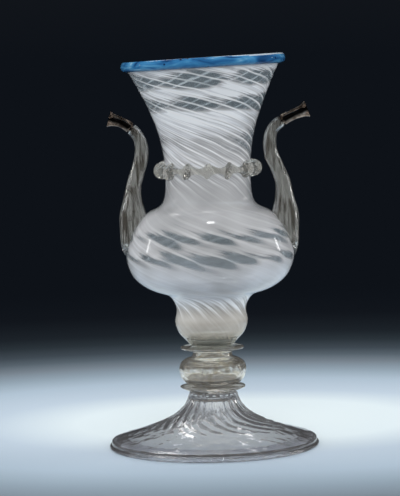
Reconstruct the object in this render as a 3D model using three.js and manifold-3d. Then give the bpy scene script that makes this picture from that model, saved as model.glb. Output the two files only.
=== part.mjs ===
// A double-spouted vessel of blown glass. A trumpet neck, a belly and a small bulb are one blown
// bubble. It stands on a stem of two flat discs with a hollow knop between them, and on a trumpet
// foot whose edge is folded under. A trail of glass wraps the rim, a second one is pinched into
// fins round the neck, and a curved spout with a metal tip rises from each side of the belly.
// Millimetres, +Z up. The origin is the middle of the foot, on the surface that it stands on.

import * as THREE from "three";
import { mergeVertices } from "three/addons/utils/BufferGeometryUtils.js";
import Module from "manifold-3d";

const { lerp, degToRad } = THREE.MathUtils;
const wasm = await Module();
wasm.setup();

// Left between two pieces that are fused or cemented to each other on the real vessel
const JOIN_GAP = 0.3;

// Foot
const FOOT_RADIUS = 66.4;
const FOOT_HEIGHT = 34.6;
const FOOT_TOP_RADIUS = 14.8;
const FOOT_WALL = 2.4;
const FOOT_TOP_THICKNESS = 3.8;
const FOOT_NECK_DROP = 14.4; // how far down the flare stays steep
const FOOT_NECK_SPREAD = 2.6;
const FOOT_BRIM_REACH = 34; // how far in from the edge the flare stays shallow
const FOOT_BRIM_RISE = 9.6;
const FOLD_WIDTH = 13; // the folded edge, from the outside of the foot inwards
const FOLD_WALL = 2.5;
const FOLD_CREASE = 0.5; // the thin space shut in by the fold
const FOLD_LIP = 1.4; // how far the fold stands out past the sheet above it
const REST_WIDTH = 4.2; // the flat ring that the foot rests on

// Stem: two flat discs with a hollow knop between them
const LOWER_DISC_RADIUS = 20.7;
const LOWER_DISC_THICKNESS = 4.3;
const LOWER_DISC_EDGE = 1.2;
const UPPER_DISC_RADIUS = 20;
const UPPER_DISC_THICKNESS = 2.4;
const UPPER_DISC_EDGE = 1.7;
const KNOP_RADIUS = 21.2;
const KNOP_HEIGHT = 21.6;
const KNOP_WIDEST = 9.9; // height above the knop's base
const KNOP_BASE_RADIUS = 14.4;
const KNOP_NECK_RADIUS = 12.1;
const KNOP_WALL = 2.4;
const KNOP_FLOOR = 3.6;

// Body: radii of its outside, and heights above its base
const BODY_BASE_RADIUS = 13.2;
const BULB_RADIUS = 23.1;
const BULB_WIDEST = 15.6;
const WAIST_RADIUS = 21.8;
const WAIST_HEIGHT = 23.1;
const BELLY_RADIUS = 53;
const BELLY_WIDEST = 57.1;
const NECK_RADIUS = 26.7;
const NECK_NARROWEST = 104.3;
const RIM_RADIUS = 49.8;
const BODY_HEIGHT = 179.3;
const BODY_WALL = 2;
const BODY_FLOOR = 5;
const LEAN_START = 92; // above here the neck leans, where the hot gather sagged a little
const LEAN = degToRad(2.3);

// Trail round the rim
const LIP_HEIGHT = 6.4;
const LIP_THICKNESS = 1.9;
const LIP_COVER = 1.2; // over the top of the rim

// Pinched trail round the neck
const COLLAR_MIDDLE = 111; // height above the body's base
const BAND_HEIGHT = 6.4;
const BAND_THICKNESS = 2.6;
const FIN_COUNT = 13;
const FIN_HEIGHT = 11.4;
const FIN_DEPTH = 11;
const FIN_THICKNESS = 4.2;
const FIN_REACH = 7.7; // from the neck to the outside of a fin

// Spouts: a hollow tube, wide where it sits on the belly
const SPOUT_BASE_RADIUS = 8.5;
const SPOUT_BASE_WALL = 1.9;
const SPOUT_TUBE_RADIUS = 4.5;
const SPOUT_END_RADIUS = 3.8;
const SPOUT_WALL = 1.2;
const HOLE_RADIUS = 3; // through the belly's wall, into the spout
const HOLE_TILT = degToRad(30);

// Metal tips: a sleeve in the spout's bore, then a flared mouth
const SLEEVE_LENGTH = 5.5;
const SLEEVE_WALL = 0.4;
const TIP_NECK_RADIUS = 3.45;
const TIP_MOUTH_RADIUS = 5.6;
const TIP_WALL = 0.7;

// Each spout's centre line, in mm out and up from the belly's widest circle. It starts at the
// foot of the base and ends a little past the tip's mouth.
const LEFT_ROUTE = [
  [-6.2, 1.4], [-5.6, 7.2], [-5.2, 16.2], [-5.1, 26.2], [-5.2, 35.2], [-6.3, 44.4], [-9.1, 53.8],
  [-11.4, 62.2], [-11.6, 69.4], [-9.6, 75.2], [-5.2, 80.6], [1.1, 84.6], [8.3, 86.8], [13.5, 88.2],
];
const RIGHT_ROUTE = [
  [-6.2, -0.8], [-5.6, 5.8], [-5.2, 15.2], [-5.1, 25.2], [-5.4, 35.2], [-6.5, 45.4], [-9.8, 54.4],
  [-13, 61.8], [-14.1, 69.2], [-12.3, 77.4], [-5.8, 83.3], [1.2, 86.8], [9.8, 90.2], [15, 92],
];
// Steps along each route, counted from 0
const HOLE_STEP = 2;
const SEAM_STEP = 10; // the glass ends here, and the metal tip begins
const MOUTH_STEP = 12;

// Fineness
const ROUND_SEGMENTS = 32;
const STEM_SEGMENTS = 28;
const SPOUT_SIDES = 12;
const FLARE_STEPS = 10;

// Heights on the vessel, from the surface that it stands on
const lowerDiscBase = FOOT_HEIGHT + JOIN_GAP;
const knopBase = lowerDiscBase + LOWER_DISC_THICKNESS + JOIN_GAP;
const upperDiscBase = knopBase + KNOP_HEIGHT + JOIN_GAP;
const bodyBase = upperDiscBase + UPPER_DISC_THICKNESS + JOIN_GAP;
const bellyHeight = bodyBase + BELLY_WIDEST;
const rimHeight = bodyBase + BODY_HEIGHT;

const clearGlass = { color: 0xc9ccc9, roughness: 0.06, metalness: 0, transparent: true, opacity: 0.55 };
const strawGlass = { color: 0xc6c0ac, roughness: 0.06, metalness: 0, transparent: true, opacity: 0.6 };
const milkyGlass = { color: 0xdcdce6, roughness: 0.1, metalness: 0, transparent: true, opacity: 0.85 };
const blueGlass = { color: 0x3c82be, roughness: 0.12, metalness: 0 };
const silver = { color: 0xb9aa92, roughness: 0.22, metalness: 1 };

// A solid of revolution about Z. The outline runs with the material on its left, as pairs of
// radius and height, and starts and ends on the axis or closes on itself.
function turned(outline, segments = ROUND_SEGMENTS) {
  const points = outline.map(([radius, height]) => new THREE.Vector2(radius, height));
  return new THREE.LatheGeometry(points, segments).rotateX(Math.PI / 2);
}

// A smooth curve through pairs of numbers, with one point halfway between each two
function smooth(pairs) {
  const knots = pairs.map(([a, b]) => new THREE.Vector3(a, b, 0));
  const curve = new THREE.CatmullRomCurve3(knots, false, "centripetal");
  return curve.getPoints(2 * (knots.length - 1)).map((point) => [point.x, point.y]);
}

// The outline moved square to itself, to its left where the distance is positive
function offset(outline, distance) {
  return outline.map(([radius, height], i) => {
    const [r0, h0] = outline[Math.max(i - 1, 0)];
    const [r1, h1] = outline[Math.min(i + 1, outline.length - 1)];
    const length = Math.hypot(r1 - r0, h1 - h0);
    return [radius - (distance * (h1 - h0)) / length, height + (distance * (r1 - r0)) / length];
  });
}

// The inside of a wall, from its open top down to a floor, with half as many points as the outside
function cavity(outside, wall, top, floor) {
  const inside = offset(outside, wall).filter((_, i) => i % 2 === 0);
  inside.at(-1)[1] = top;
  return [...inside.filter(([, height]) => height > floor).reverse(), [0, floor]];
}

// The outline's radius at a height, where the outline rises
function radiusAt(outline, height) {
  const i = outline.findIndex(([, h]) => h > height);
  const [r0, h0] = outline[i - 1];
  const [r1, h1] = outline[i];
  return lerp(r0, r1, (height - h0) / (h1 - h0));
}

function toSolid(geometry) {
  const bare = geometry.clone();
  bare.deleteAttribute("normal");
  bare.deleteAttribute("uv");
  const merged = mergeVertices(bare, 1e-4);
  return new wasm.Manifold(
    new wasm.Mesh({
      numProp: 3,
      vertProperties: new Float32Array(merged.attributes.position.array),
      triVerts: new Uint32Array(merged.index.array),
    }),
  );
}

function toGeometry(solid) {
  const mesh = solid.getMesh();
  const geometry = new THREE.BufferGeometry();
  geometry.setAttribute("position", new THREE.BufferAttribute(mesh.vertProperties, 3));
  geometry.setIndex(new THREE.BufferAttribute(mesh.triVerts, 1));
  geometry.computeVertexNormals();
  return geometry;
}

// Bends the neck to the left along an arc, with each ring kept square to it
function leaned(geometry) {
  const start = bodyBase + LEAN_START;
  const radius = (rimHeight - start) / LEAN;
  const position = geometry.attributes.position;
  for (let i = 0; i < position.count; i += 1) {
    const angle = (position.getZ(i) - start) / radius;
    if (angle > 0) {
      const across = radius + position.getX(i);
      position.setX(i, across * Math.cos(angle) - radius);
      position.setZ(i, start + across * Math.sin(angle));
    }
  }
  geometry.computeVertexNormals();
  return geometry;
}

// Points between two named circles of a surface of revolution, by their share of the way across
// and of the way up
function between([r0, h0], [r1, h1], shares) {
  return shares.map(([across, up]) => [lerp(r0, r1, across), lerp(h0, h1, up)]);
}

// The outside of the body, from its base up to the rim
function bodyOutline() {
  const base = [BODY_BASE_RADIUS, bodyBase];
  const bulb = [BULB_RADIUS, bodyBase + BULB_WIDEST];
  const waist = [WAIST_RADIUS, bodyBase + WAIST_HEIGHT];
  const belly = [BELLY_RADIUS, bellyHeight];
  const neck = [NECK_RADIUS, bodyBase + NECK_NARROWEST];
  const rim = [RIM_RADIUS, rimHeight];
  return smooth([
    base,
    ...between(base, bulb, [[0.34, 0.25], [0.75, 0.52]]),
    bulb,
    waist,
    ...between(waist, belly, [[0.13, 0.245], [0.516, 0.375], [0.82, 0.575], [0.945, 0.785]]),
    belly,
    ...between(belly, neck, [[0.085, 0.175], [0.215, 0.355], [0.53, 0.572], [0.84, 0.658], [0.95, 0.745]]),
    neck,
    ...between(neck, rim, [[0.045, 0.24], [0.18, 0.43], [0.35, 0.58], [0.63, 0.78]]),
    rim,
  ]);
}

// The body filled up to its axis and grown by a gap, to cut what sits on it
function grownBody(gap) {
  const outside = offset(bodyOutline(), -gap);
  return toSolid(turned([[0, outside[0][1]], ...outside, [0, outside.at(-1)[1]]]));
}

function footGeometry() {
  const sheetRadius = FOOT_RADIUS - FOLD_LIP;
  const brimTop = FOLD_WALL + FOLD_CREASE + FOOT_WALL;
  const flare = new THREE.CubicBezierCurve(
    new THREE.Vector2(sheetRadius - FOOT_WALL / 3, brimTop),
    new THREE.Vector2(sheetRadius - FOOT_BRIM_REACH, brimTop + FOOT_BRIM_RISE),
    new THREE.Vector2(FOOT_TOP_RADIUS + FOOT_NECK_SPREAD, FOOT_HEIGHT - FOOT_NECK_DROP),
    new THREE.Vector2(FOOT_TOP_RADIUS, FOOT_HEIGHT),
  );
  const outside = flare.getPoints(FLARE_STEPS).map((point) => [point.x, point.y]);
  const roof = FOOT_HEIGHT - FOOT_TOP_THICKNESS;
  const creaseEnd = sheetRadius - FOOT_WALL;
  const inside = offset(outside, FOOT_WALL)
    .reverse()
    .filter(([radius, height]) => height < roof && radius < creaseEnd - FOOT_WALL);
  // The fold's inner edge lies against the sheet above it
  const foldInner = FOOT_RADIUS - FOLD_WIDTH;
  const foldTop = inside.findLast(([radius]) => radius <= foldInner)[1] - FOLD_CREASE;
  const foldRound = FOLD_WALL * 0.3;
  const restOuter = FOOT_RADIUS - FOLD_WALL / 2;
  return turned([
    [0, roof],
    [inside[0][0] * 0.8, roof],
    ...inside,
    [creaseEnd, FOLD_WALL + FOLD_CREASE],
    [creaseEnd, FOLD_WALL],
    [foldInner + foldRound, foldTop],
    [foldInner, foldTop - FOLD_WALL / 2],
    [foldInner + foldRound, foldTop - FOLD_WALL],
    [restOuter - REST_WIDTH, 0],
    [restOuter, 0],
    [FOOT_RADIUS - foldRound / 2, FOLD_WALL * 0.2],
    [FOOT_RADIUS, FOLD_WALL / 2],
    [FOOT_RADIUS - foldRound / 2, FOLD_WALL * 0.85],
    [sheetRadius - FOLD_CREASE, FOLD_WALL + FOLD_CREASE / 2],
    [sheetRadius, brimTop - FOOT_WALL / 2],
    ...outside,
    [0, FOOT_HEIGHT],
  ]);
}

// A flat disc with a rounded edge. Its seats meet what it carries above and rests on below.
function stemDisc(base, thickness, radius, edge, edgeMiddle, seatBelow, seatAbove) {
  const round = edge * 0.3;
  return turned([
    [0, base],
    [seatBelow, base],
    [radius - edge / 2, edgeMiddle - edge / 2],
    [radius - edge / 10, edgeMiddle - round],
    [radius, edgeMiddle],
    [radius - edge / 10, edgeMiddle + round],
    [radius - edge / 2, edgeMiddle + edge / 2],
    [seatAbove, base + thickness],
    [0, base + thickness],
  ], STEM_SEGMENTS);
}

// Blown hollow, and left open where it came off the blowing iron, under the upper disc
function knopGeometry() {
  const base = [KNOP_BASE_RADIUS, knopBase];
  const widest = [KNOP_RADIUS, knopBase + KNOP_WIDEST];
  const neck = [KNOP_NECK_RADIUS, knopBase + KNOP_HEIGHT];
  const outside = smooth([
    base,
    ...between(base, widest, [[0.48, 0.15], [0.88, 0.5]]),
    widest,
    ...between(widest, neck, [[0.14, 0.34], [0.5, 0.54], [0.9, 0.66]]),
    neck,
  ]);
  return turned([
    [0, knopBase],
    ...outside,
    ...cavity(outside, KNOP_WALL, knopBase + KNOP_HEIGHT, knopBase + KNOP_FLOOR),
  ], STEM_SEGMENTS);
}

// A spout's centre line on the side given as 1 or -1. It lies in the XZ plane.
function spoutRoute(points, side) {
  const knots = points.map(
    ([out, up]) => new THREE.Vector3(side * (BELLY_RADIUS + out), 0, bellyHeight + up),
  );
  return new THREE.CatmullRomCurve3(knots, false, "centripetal");
}

// A closed round rod along a route, as pairs of place and radius. A place of 2.5 is halfway
// from the route's point 2 to its point 3.
function rod(route, sections) {
  const outline = sections.map(([, radius], i) => [radius, i]);
  const geometry = turned([[0, 0], ...outline, [0, sections.length - 1]], SPOUT_SIDES);
  const position = geometry.attributes.position;
  const sideways = new THREE.Vector3(0, 1, 0);
  for (let i = 0; i < position.count; i += 1) {
    const local = new THREE.Vector3().fromBufferAttribute(position, i);
    const share = sections[Math.round(local.z)][0] / (route.points.length - 1);
    const across = new THREE.Vector3().crossVectors(sideways, route.getTangent(share));
    const point = route.getPoint(share);
    point.addScaledVector(across, local.x).addScaledVector(sideways, local.y);
    position.setXYZ(i, point.x, point.y, point.z);
  }
  return toSolid(geometry);
}

// The place that lies some millimetres past a point of the route, or before it if negative
function placeFrom(route, point, distance) {
  const step = Math.sign(distance);
  return point + distance / route.points[point].distanceTo(route.points[point + step]);
}

// A spout's outer radius and wall at each point of its route up to the seam
function spoutSections() {
  const base = (share) => [lerp(SPOUT_BASE_RADIUS, SPOUT_TUBE_RADIUS, share), SPOUT_BASE_WALL];
  const neck = (share) => [lerp(SPOUT_BASE_RADIUS, SPOUT_TUBE_RADIUS, share), SPOUT_WALL];
  const tube = (share) => [lerp(SPOUT_TUBE_RADIUS, SPOUT_END_RADIUS, share), SPOUT_WALL];
  return [
    base(0.4), base(0.05), base(0), base(0), neck(0.6), neck(0.92),
    tube(0), tube(0), tube(0.4), tube(0.95), tube(1),
  ];
}

function spoutGeometry(points, side) {
  const route = spoutRoute(points, side);
  const outer = spoutSections().map(([radius], place) => [place, radius]);
  const inner = spoutSections().map(([radius, wall], place) => [place, radius - wall]);
  const floor = [0.6, inner[0][1] * 0.6];
  const outside = rod(route, smooth(outer));
  const bore = rod(route, smooth([floor, ...inner.slice(1), [SEAM_STEP + 0.5, inner.at(-1)[1]]]));
  return toGeometry(outside.subtract(bore).subtract(grownBody(JOIN_GAP)));
}

function tipGeometry(points, side) {
  const route = spoutRoute(points, side);
  const sleeveRadius = SPOUT_END_RADIUS - SPOUT_WALL - JOIN_GAP;
  const sleeveEnd = placeFrom(route, SEAM_STEP, -SLEEVE_LENGTH);
  const seam = placeFrom(route, SEAM_STEP, JOIN_GAP);
  const flare = (share) => lerp(TIP_NECK_RADIUS, TIP_MOUTH_RADIUS, share);
  const horn = [
    [0, SPOUT_END_RADIUS], [0.25, flare(0.05)], [0.5, flare(0)], [0.7, flare(0.18)],
    [0.85, flare(0.45)], [0.96, flare(0.85)], [1, flare(1)],
  ].map(([share, radius]) => [lerp(seam, MOUTH_STEP, share), radius]);
  const sleeve = [sleeveEnd, (sleeveEnd + seam) / 2, seam + 0.1].map((place) => [place, sleeveRadius]);
  const bore = [
    [sleeveEnd - 0.1, sleeveRadius - SLEEVE_WALL],
    [(sleeveEnd + seam) / 2, sleeveRadius - SLEEVE_WALL],
    [seam, sleeveRadius - SLEEVE_WALL],
    ...horn.slice(1).map(([place, radius]) => [place, radius - TIP_WALL]),
    [MOUTH_STEP + 0.1, TIP_MOUTH_RADIUS],
  ];
  return toGeometry(rod(route, sleeve).add(rod(route, horn)).subtract(rod(route, bore)));
}

function bodyGeometry() {
  const outside = bodyOutline();
  let shell = toSolid(turned([
    [0, bodyBase],
    ...outside,
    ...cavity(outside, BODY_WALL, rimHeight, bodyBase + BODY_FLOOR),
  ]));
  for (const [points, side] of [[LEFT_ROUTE, -1], [RIGHT_ROUTE, 1]]) {
    const drill = new THREE.CylinderGeometry(HOLE_RADIUS, HOLE_RADIUS, BODY_WALL * 6, SPOUT_SIDES);
    drill.rotateZ(-side * (Math.PI / 2 - HOLE_TILT));
    drill.rotateX(Math.PI / 2);
    const { x, z } = spoutRoute(points, side).points[HOLE_STEP];
    shell = shell.subtract(toSolid(drill.translate(x, 0, z)));
  }
  return leaned(toGeometry(shell));
}

// The trail on the rim follows the flare outside and turns over the top
function lipGeometry() {
  const seat = rimHeight + JOIN_GAP;
  const top = seat + LIP_COVER;
  const bottom = top - LIP_HEIGHT;
  const outer = RIM_RADIUS + LIP_THICKNESS;
  const inner = RIM_RADIUS - BODY_WALL;
  const against = radiusAt(offset(bodyOutline(), -JOIN_GAP), bottom);
  return leaned(turned([
    [inner, seat],
    [RIM_RADIUS + JOIN_GAP, seat],
    [against, bottom],
    [lerp(against, outer, 0.6), bottom],
    [outer, lerp(bottom, top, 0.35)],
    [outer, lerp(bottom, top, 0.65)],
    [outer - LIP_THICKNESS * 0.3, lerp(bottom, top, 0.9)],
    [RIM_RADIUS, top],
    [inner + LIP_COVER * 0.3, seat + LIP_COVER * 0.75],
    [inner, seat],
  ]));
}

function collarGeometry() {
  const middle = bodyBase + COLLAR_MIDDLE;
  const outer = NECK_RADIUS + JOIN_GAP + BAND_THICKNESS;
  const chamfer = BAND_THICKNESS * 0.4;
  const core = NECK_RADIUS - BODY_WALL;
  let trail = toSolid(turned([
    [core, middle - BAND_HEIGHT / 2],
    [outer - chamfer, middle - BAND_HEIGHT / 2],
    [outer, middle - BAND_HEIGHT / 2 + chamfer],
    [outer, middle + BAND_HEIGHT / 2 - chamfer],
    [outer - chamfer, middle + BAND_HEIGHT / 2],
    [core, middle + BAND_HEIGHT / 2],
    [core, middle - BAND_HEIGHT / 2],
  ]));
  for (let i = 0; i < FIN_COUNT; i += 1) {
    const fin = new THREE.SphereGeometry(0.5, 8, 7);
    fin.scale(FIN_DEPTH, FIN_THICKNESS, FIN_HEIGHT);
    fin.translate(NECK_RADIUS + FIN_REACH - FIN_DEPTH / 2, 0, middle);
    fin.rotateZ(-Math.PI / 2 + (2 * Math.PI * i) / FIN_COUNT);
    trail = trail.add(toSolid(fin));
  }
  return leaned(toGeometry(trail.subtract(grownBody(JOIN_GAP))));
}

const vessel = new THREE.Group();

function addPiece(name, geometry, finish) {
  const mesh = new THREE.Mesh(geometry, new THREE.MeshStandardMaterial(finish));
  mesh.name = name;
  vessel.add(mesh);
}

addPiece("foot", footGeometry(), clearGlass);
addPiece(
  "lower_merese",
  stemDisc(
    lowerDiscBase, LOWER_DISC_THICKNESS, LOWER_DISC_RADIUS, LOWER_DISC_EDGE,
    lowerDiscBase + LOWER_DISC_THICKNESS * 0.7, FOOT_TOP_RADIUS, KNOP_BASE_RADIUS,
  ),
  strawGlass,
);
addPiece("stem_knop", knopGeometry(), strawGlass);
addPiece(
  "upper_merese",
  stemDisc(
    upperDiscBase, UPPER_DISC_THICKNESS, UPPER_DISC_RADIUS, UPPER_DISC_EDGE,
    upperDiscBase + UPPER_DISC_THICKNESS / 2, KNOP_NECK_RADIUS, BODY_BASE_RADIUS,
  ),
  strawGlass,
);
addPiece("vessel_body", bodyGeometry(), milkyGlass);
addPiece("lip_wrap", lipGeometry(), blueGlass);
addPiece("pinched_collar", collarGeometry(), strawGlass);
addPiece("spout_left", spoutGeometry(LEFT_ROUTE, -1), clearGlass);
addPiece("spout_right", spoutGeometry(RIGHT_ROUTE, 1), clearGlass);
addPiece("spout_tip_left", tipGeometry(LEFT_ROUTE, -1), silver);
addPiece("spout_tip_right", tipGeometry(RIGHT_ROUTE, 1), silver);

export default vessel;
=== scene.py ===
# A double-spouted vessel of blown glass, made in the order in which it was put together: the foot,
# the stem's discs and knop, the body, the lip, the pinched collar, the spouts and their tips.
# Sizes are in metres, in the frame of the CAD model.
import math
import random

import bpy
from mathutils import Matrix, Vector, noise
from mathutils.geometry import interpolate_bezier


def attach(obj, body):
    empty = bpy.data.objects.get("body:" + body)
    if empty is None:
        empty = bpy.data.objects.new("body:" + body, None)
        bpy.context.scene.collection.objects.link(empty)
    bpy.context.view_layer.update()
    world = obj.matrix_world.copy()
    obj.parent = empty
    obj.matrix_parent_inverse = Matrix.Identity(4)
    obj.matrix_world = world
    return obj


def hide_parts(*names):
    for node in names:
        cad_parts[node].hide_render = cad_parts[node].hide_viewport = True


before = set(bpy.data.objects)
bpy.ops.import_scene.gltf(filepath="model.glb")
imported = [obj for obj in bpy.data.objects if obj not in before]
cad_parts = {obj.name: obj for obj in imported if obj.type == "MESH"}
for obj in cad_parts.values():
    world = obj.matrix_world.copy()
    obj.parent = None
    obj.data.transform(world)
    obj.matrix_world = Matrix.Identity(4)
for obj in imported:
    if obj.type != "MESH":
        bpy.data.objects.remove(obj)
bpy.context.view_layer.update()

# Camera: it stands 1.45 m away, as high as the rim, and looks a little down. It is turned by
# 1.4 degrees, which tips the vessel to the left in the picture.
VIEWPOINT = Vector((-0.0062, -1.45, 0.245))
LOOKED_AT = Vector((-0.0062, 0, 0.1255))
ROLL = math.radians(-1.37)
LENS = 168  # mm

bpy.ops.object.select_all(action="DESELECT")
bpy.ops.object.camera_add(location=VIEWPOINT)
camera = bpy.context.object
aim = (LOOKED_AT - VIEWPOINT).to_track_quat("-Z", "Y").to_matrix()
camera.rotation_euler = (aim @ Matrix.Rotation(ROLL, 3, "Z")).to_euler()
camera.data.lens = LENS
bpy.context.scene.camera = camera
bpy.context.scene.view_settings.view_transform = "Standard"

# Foot: a trumpet of clear glass, blown, opened and spun out flat. The gather was dipped in a ribbed
# mould and twisted, so ribs swirl down the cone. The edge is folded under, which shuts in a line of
# air, and the iron left a scar under the middle.
FOOT_RADIUS = 0.0664
FOOT_HEIGHT = 0.0346
FOOT_TOP_RADIUS = 0.0148
FOOT_TOP_THICKNESS = 0.0038
FOOT_WALL = 0.0024
STEEP_DROP = 0.0144
STEEP_SPREAD = 0.0026
BRIM_REACH = 0.034
BRIM_RISE = 0.0096
FOLD_WIDTH = 0.013
FOLD_WALL = 0.0025
FOLD_CREASE = 0.0005
FOLD_LIP = 0.0014
REST_WIDTH = 0.0042
RIB_COUNT = 22
RIB_DEPTH = 0.0006
RIB_TWIST = math.radians(50)  # how far round the ribs swirl on their way out
RIB_CURL = 1.8  # above 1, they swirl most near their end
RIB_END = 0.045
RIB_WIDTH = 0.6  # below 1, the grooves between the ribs are narrow
RIB_WAVER = 0.08  # radians
RIB_WAVER_SIZE = 0.012
SCAR_RADIUS = 0.006
SCAR_DEPTH = 0.0009
SCAR_SCALE = 900  # lumps of about 1 mm
FLARE_STEPS = 45
FINE_TURN = 96  # steps in a turn, for the widest pieces
GLASS_IOR = 1.5
STAIN_SIZE = 0.003125


def smooth_line(knots, steps):
    """A smooth line through knots, with so many steps between each two."""
    knots = [Vector(knot) for knot in knots]
    ends = [2 * knots[0] - knots[1], *knots, 2 * knots[-1] - knots[-2]]
    line = []
    for before, start, end, after in zip(ends, ends[1:], ends[2:], ends[3:]):
        in_span = math.sqrt((start - before).length)
        span = math.sqrt((end - start).length)
        out_span = math.sqrt((after - end).length)
        into = (start - before) / in_span
        across = (end - start) / span
        onward = (after - end) / out_span
        leave = into - (end - before) / (in_span + span) + across
        arrive = across - (after - start) / (span + out_span) + onward
        for step in range(steps):
            t = step / steps
            line.append(
                start * (2 * t**3 - 3 * t**2 + 1)
                + leave * span * (t**3 - 2 * t**2 + t)
                + end * (3 * t**2 - 2 * t**3)
                + arrive * span * (t**3 - t**2)
            )
    return line + [knots[-1]]


def offset(outline, distance):
    """The outline moved square to itself, to its left where the distance is positive."""
    moved = []
    for index, point in enumerate(outline):
        along = outline[min(index + 1, len(outline) - 1)] - outline[max(index - 1, 0)]
        moved.append(point + distance * along.orthogonal().normalized())
    return moved


def turn(name, outline, steps):
    """Draws a closed outline of radius and height, spins it round the axis and smooths it."""
    bpy.ops.object.select_all(action="DESELECT")
    bpy.ops.mesh.primitive_circle_add(vertices=len(outline))
    piece = bpy.context.object
    piece.name = name
    for vertex, (radius, height) in zip(piece.data.vertices, outline):
        vertex.co = (radius, 0, height)
    bpy.ops.object.mode_set(mode="EDIT")
    bpy.ops.mesh.select_all(action="SELECT")
    bpy.ops.mesh.spin(steps=steps, angle=math.tau, center=(0, 0, 0), axis=(0, 0, 1))
    bpy.ops.mesh.select_all(action="SELECT")
    bpy.ops.mesh.remove_doubles(threshold=1e-6)
    bpy.ops.mesh.delete_loose(use_verts=True, use_edges=True, use_faces=False)
    bpy.ops.mesh.select_all(action="SELECT")
    bpy.ops.mesh.normals_make_consistent(inside=False)
    bpy.ops.object.mode_set(mode="OBJECT")
    bpy.ops.object.modifier_add(type="SUBSURF")
    bpy.ops.object.modifier_apply(modifier=piece.modifiers[0].name)
    bpy.ops.object.shade_smooth()
    return piece


def polar(point):
    """A point's distance from the vessel's axis, and its turn round it in radians."""
    return math.hypot(point.x, point.y), math.atan2(point.y, point.x)


def linear(hex_colour):
    """The linear colour of an sRGB hex value."""
    parts = [int(hex_colour[i:i + 2], 16) / 255 for i in (0, 2, 4)]
    return (*[p / 12.92 if p < 0.04045 else ((p + 0.055) / 1.055) ** 2.4 for p in parts], 1)


def add_node(material, kind, inputs, **settings):
    """Adds a node to a material. An input is given a value, or the socket that feeds it."""
    node = material.node_tree.nodes.new("ShaderNode" + kind)
    for name, value in settings.items():
        if name == "stops":
            elements = node.color_ramp.elements
            elements.remove(elements[1])
            elements[0].position, elements[0].color = value[0]
            for position, colour in value[1:]:
                elements.new(position).color = colour
        else:
            setattr(node, name, value)
    for name, value in inputs.items():
        if isinstance(value, bpy.types.NodeSocket):
            material.node_tree.links.new(value, node.inputs[name])
        else:
            node.inputs[name].default_value = value
    return node


def new_material(name):
    """An empty node material."""
    material = bpy.data.materials.new(name)
    material.use_nodes = True
    material.node_tree.nodes.clear()
    return material


def blown_glass(
    name, tint, veil, wave_size, wave_height, stretch=(1, 1, 1), shade="E2E4E6", stain=None
):
    """Clear soda glass, shaped hot and left with its fire polish. Fine seed and old bloom lay a
    grey veil over it, given as a share. Slow waves in the surface, of a given size and height,
    bend what shows through. The lamps' light passes straight through, and each face takes its
    shade off it. Dirt that has dried on in streaks of a few millimetres gives it its stain."""
    material = new_material(name)
    place = add_node(material, "TexCoord", {})
    grain = add_node(material, "Mapping", {"Vector": place.outputs["Object"], "Scale": stretch})
    colour = linear(tint)
    if stain:
        dirt = add_node(
            material, "TexNoise", {"Vector": grain.outputs[0], "Scale": 1 / STAIN_SIZE, "Detail": 3}
        )
        dried = add_node(
            material,
            "ValToRGB",
            {"Fac": dirt.outputs["Fac"]},
            stops=[(0.4, linear(stain)), (0.56, colour)],
        )
        colour = dried.outputs[0]
    waves = add_node(
        material, "TexNoise", {"Vector": grain.outputs[0], "Scale": 1 / wave_size, "Detail": 1.5}
    )
    bump = add_node(
        material, "Bump", {"Height": waves.outputs["Fac"], "Distance": wave_height, "Strength": 1}
    )
    glass = add_node(
        material,
        "BsdfPrincipled",
        {
            "Base Color": colour,
            "Roughness": 0.02,
            "IOR": GLASS_IOR,
            "Transmission Weight": 1 - veil,
            "Normal": bump.outputs[0],
        },
    )
    path = add_node(material, "LightPath", {})
    clear = add_node(material, "BsdfTransparent", {"Color": linear(shade)})
    either = add_node(
        material,
        "MixShader",
        {0: path.outputs["Is Shadow Ray"], 1: glass.outputs[0], 2: clear.outputs[0]},
    )
    add_node(material, "OutputMaterial", {"Surface": either.outputs[0]})
    return material


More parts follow.
